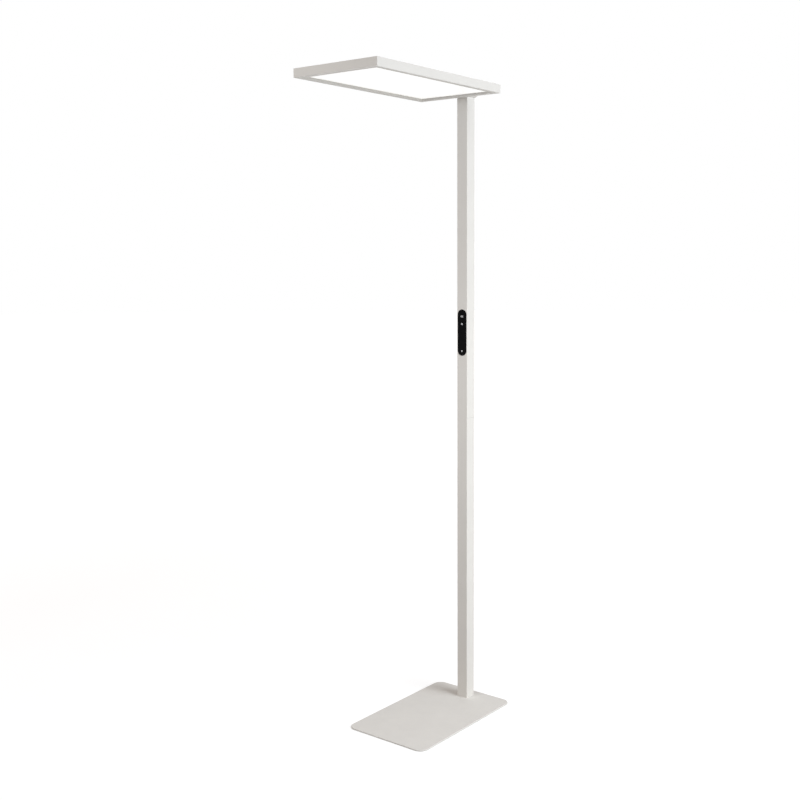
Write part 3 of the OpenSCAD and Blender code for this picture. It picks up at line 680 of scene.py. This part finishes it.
class LAMP_OT_pole(LampOperator, Operator):
    """Finishes both pole lengths"""

    bl_idname = "lamp.pole"
    bl_label = "Pole"

    def execute(self, context):
        paint(powder_coat("pole_coat", run=(1, 1, 90)), "lower_pole", "upper_pole")
        return {"FINISHED"}


class LAMP_OT_head(LampOperator, Operator):
    """Finishes the head's rails, top cover and the cap over the arm"""

    bl_idname = "lamp.head"
    bl_label = "Head frame"

    def execute(self, context):
        paint(powder_coat("long_rail_coat", run=(90, 1, 1)), "left_rail", "right_rail")
        paint(powder_coat("short_rail_coat", run=(1, 90, 1)), "front_rail", "rear_rail")
        paint(powder_coat("cover_coat", dust=0.16, mottle=0.02), "top_cover")
        paint(powder_coat("cap_coat", mottle=0.02), "pole_cap")
        return {"FINISHED"}


class LAMP_OT_optics(LampOperator, Operator):
    """Finishes the opal sheets, the light guide, the reflector and the light sources' boards"""

    bl_idname = "lamp.optics"
    bl_label = "Optics"

    def execute(self, context):
        settings = context.scene.lamp_optic
        paint(opal_sheet("lower_opal", glow=0.0, seen_glow=settings.down_glow), "lower_diffuser")
        paint(opal_sheet("upper_opal", glow=settings.up_glow), "upper_diffuser")
        paint(clear_acrylic(), "light_guide")
        white = SLOT_COLOURS["white_board"]
        paint(moulding("reflector_sheet", white, grain=0.0003, roughness=0.6), "reflector")
        strip_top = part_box("edge_strips")[1].z
        paint(circuit("edge_strip_board", white, PHOSPHOR, "Z", strip_top), "edge_strips")
        board_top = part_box("uplight_wires")[0].z
        chips = circuit("uplight_board", white, PHOSPHOR, "Z", board_top + CHIP_START)
        paint(chips, "uplight_boards")
        return {"FINISHED"}


class LAMP_OT_gear(LampOperator, Operator):
    """Finishes the tray, the driver, the wires and the leads"""

    bl_idname = "lamp.gear"
    bl_label = "Gear and leads"

    def execute(self, context):
        tray = moulding("tray_white", SLOT_COLOURS["tray_white"], grain=0.0006, roughness=0.4)
        sheath = moulding("lead_sheath", SLOT_COLOURS["cable"], grain=0.0005, roughness=0.6)
        wire = moulding("wire_insulation", SLOT_COLOURS["thin_wire"], grain=0.0003, roughness=0.35)
        paint(tray, "gear_tray")
        paint(sheath, "supply_lead", "head_lead")
        paint(wire, "strip_wires", "uplight_wires")
        return {"FINISHED"}


class LAMP_OT_metalwork(LampOperator, Operator):
    """Finishes the screws, arm, blocks, sleeve and corner keys"""

    bl_idname = "lamp.metalwork"
    bl_label = "Metalwork"

    def execute(self, context):
        steel = bare_metal("zinc_plated_steel", SLOT_COLOURS["steel"], spacing=0.0002,
                           run=(12, 1, 1), darkest=0.85, roughness=(0.26, 0.4))
        alloy = bare_metal("mill_aluminium", SLOT_COLOURS["alloy"], spacing=0.0005,
                           run=(1, 1, 80), darkest=0.88, roughness=(0.3, 0.48))
        paint(steel, *slot_nodes("steel"))
        paint(alloy, *slot_nodes("alloy"))
        return {"FINISHED"}


class LAMP_OT_control_panel(LampOperator, Operator):
    """Finishes the touch panel and prints its marks"""

    bl_idname = "lamp.control_panel"
    bl_label = "Control panel"

    def execute(self, context):
        paint(gloss_face(), "control_fascia")
        black = SLOT_COLOURS["black_plastic"]
        paint(moulding("housing_black", black, grain=0.0005, roughness=0.5), "control_housing")
        green = SLOT_COLOURS["circuit_board"]
        board_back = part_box("control_housing")[1].x - CONTROL_BOARD_THICKNESS
        paint(circuit("control_circuit", green, green, "X", board_back), "control_board")
        ink = mark_print()
        low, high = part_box("control_fascia")
        sides = light_sides(half_width=0.0036, half_height=0.0017, bow_radius=0.0041, bow_turn=28)
        large_sun = sun(radius=0.0013, ray_in=0.0021, ray_out=0.0031)
        small_sun = sun(radius=0.0011, ray_in=0.0018, ray_out=0.0026)
        print_mark("mark_light_sides", sides, high.z - LIGHT_SIDES_DEPTH, ink)
        print_mark("mark_brighter", large_sun, high.z - BRIGHTER_DEPTH, ink)
        print_mark("mark_dimmer", small_sun, low.z + DIMMER_HEIGHT, ink)
        return {"FINISHED"}


class LAMP_OT_power_inlet(LampOperator, Operator):
    """Finishes the power inlet at the pole's foot"""

    bl_idname = "lamp.power_inlet"
    bl_label = "Power inlet"

    def execute(self, context):
        inlet = moulding("inlet_black", SLOT_COLOURS["black_plastic"], grain=0.0004, roughness=0.42)
        paint(inlet, "power_inlet")
        return {"FINISHED"}


class LAMP_OT_stage(LampOperator, Operator):
    """Sets up floor, white surroundings, lights and camera"""

    bl_idname = "lamp.stage"
    bl_label = "Stage"

    def execute(self, context):
        settings = context.scene.lamp_stage
        make_floor(settings)
        make_surroundings(context.scene, settings)
        make_lights(context.scene, settings)
        make_camera(context.scene)
        return {"FINISHED"}


# ---------------------------------------------------------------- stage


def floor_finish(settings):
    """White from above with the lamp's soft shadow, and nothing from below."""
    cloud_size = 0.8
    cloud_share = 0.02
    white_reach = (0.3, 5.0)
    white_lift = (0.62, 0.85)
    material, tree = new_finish("studio_floor")[:2]
    tree.nodes.clear()
    cloud = noise(tree, sized_place(tree, cloud_size), detail=3.0)
    tone = mix_colour(tree, times(tree, cloud, cloud_share), settings.floor_colour, FLOOR_CLOUD)
    matte = add(tree, "ShaderNodeBsdfDiffuse", Color=tone)
    reach = add(tree, "ShaderNodeVectorMath", object_place(tree), operation="LENGTH")
    lift = remap(tree, reach.outputs["Value"], white_reach, white_lift)
    glow = add(tree, "ShaderNodeEmission", Strength=times(tree, sees_background(tree), lift))
    upper = add(tree, "ShaderNodeAddShader", matte.outputs[0], glow.outputs[0])
    clear = add(tree, "ShaderNodeBsdfTransparent")
    from_below = add(tree, "ShaderNodeNewGeometry").outputs["Backfacing"]
    sides = add(tree, "ShaderNodeMixShader", from_below, upper.outputs[0], clear.outputs[0])
    add(tree, "ShaderNodeOutputMaterial", Surface=sides.outputs[0])
    return material


def make_floor(settings):
    """A round floor, far wider than the view."""
    shape = bmesh.new()
    bmesh.ops.create_circle(shape, cap_ends=True, segments=64, radius=settings.floor_radius)
    floor = new_object("studio_floor", shape, floor_finish(settings))


def make_surroundings(scene, settings):
    """Even light from all round, plain white to the eye and in gloss."""
    world = bpy.data.worlds.new("studio_surroundings")
    world.use_nodes = True
    tree = world.node_tree
    seen = sees_background(tree)
    feed(tree, tree.nodes["Background"],
         Color=mix_colour(tree, seen, settings.sky_colour, WHITE),
         Strength=between(tree, seen, settings.sky, 1.0))
    scene.world = world
    scene.view_settings.view_transform = "Standard"


def make_lights(scene, settings):
    """Large soft lights, each turned towards its own target."""
    for name, (place, target, size, colour) in LIGHTS.items():
        data = bpy.data.lights.new(name, "AREA")
        data.shape = "RECTANGLE"
        data.size, data.size_y = size
        data.energy = getattr(settings, name)
        data.color = colour
        light = bpy.data.objects.new(name, data)
        light.location = place
        light.rotation_euler = (Vector(target) - Vector(place)).to_track_quat("-Z", "Y").to_euler()
        light.visible_camera = False
        scene.collection.objects.link(light)


def make_camera(scene):
    """The photograph's camera."""
    data = bpy.data.cameras.new("studio_camera")
    data.sensor_fit = "HORIZONTAL"
    data.sensor_width = SENSOR_MM
    data.lens = SENSOR_MM * FOCAL_PX / FRAME_PX
    data.shift_x = (FRAME_PX / 2 - MIDDLE_PX[0]) / FRAME_PX
    data.shift_y = (MIDDLE_PX[1] - FRAME_PX / 2) / FRAME_PX
    camera = bpy.data.objects.new("studio_camera", data)
    camera.location = CAMERA_PLACE
    camera.rotation_euler = (math.pi / 2 + CAMERA_PITCH, 0, CAMERA_YAW - math.pi / 2)
    scene.collection.objects.link(camera)
    scene.camera = camera


# ---------------------------------------------------------------- add-on


class LAMP_PT_pieces(Panel):
    """Lists the lamp's pieces in the sidebar"""

    bl_label = "Office Floor Lamp"
    bl_idname = "LAMP_PT_pieces"
    bl_space_type = "VIEW_3D"
    bl_region_type = "UI"
    bl_category = "Lamp"

    def draw(self, context):
        for operator in OPERATORS:
            self.layout.operator(operator.bl_idname)
        for name in SETTINGS:
            box = self.layout.box()
            group = getattr(context.scene, name)
            for prop in group.__annotations__:
                box.prop(group, prop)


OPERATORS = (LAMP_OT_base, LAMP_OT_pole, LAMP_OT_head, LAMP_OT_optics, LAMP_OT_gear,
             LAMP_OT_metalwork, LAMP_OT_control_panel, LAMP_OT_power_inlet, LAMP_OT_stage)
SETTINGS = {"lamp_coat": CoatSettings, "lamp_optic": OpticSettings,
            "lamp_control": ControlSettings, "lamp_stage": StageSettings}
CLASSES = (*SETTINGS.values(), *OPERATORS, LAMP_PT_pieces)


def register():
    """Makes the settings, operators and sidebar panel known to Blender."""
    for made in CLASSES:
        bpy.utils.register_class(made)
    for name, group in SETTINGS.items():
        setattr(bpy.types.Scene, name, PointerProperty(type=group))


def unregister():
    """Takes them back."""
    for name in SETTINGS:
        delattr(bpy.types.Scene, name)
    for made in reversed(CLASSES):
        bpy.utils.unregister_class(made)


def main():
    """Registers the add-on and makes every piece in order."""
    register()
    for operator in OPERATORS:
        group, name = operator.bl_idname.split(".")
        getattr(getattr(bpy.ops, group), name)()


if __name__ == "__main__":
    main()
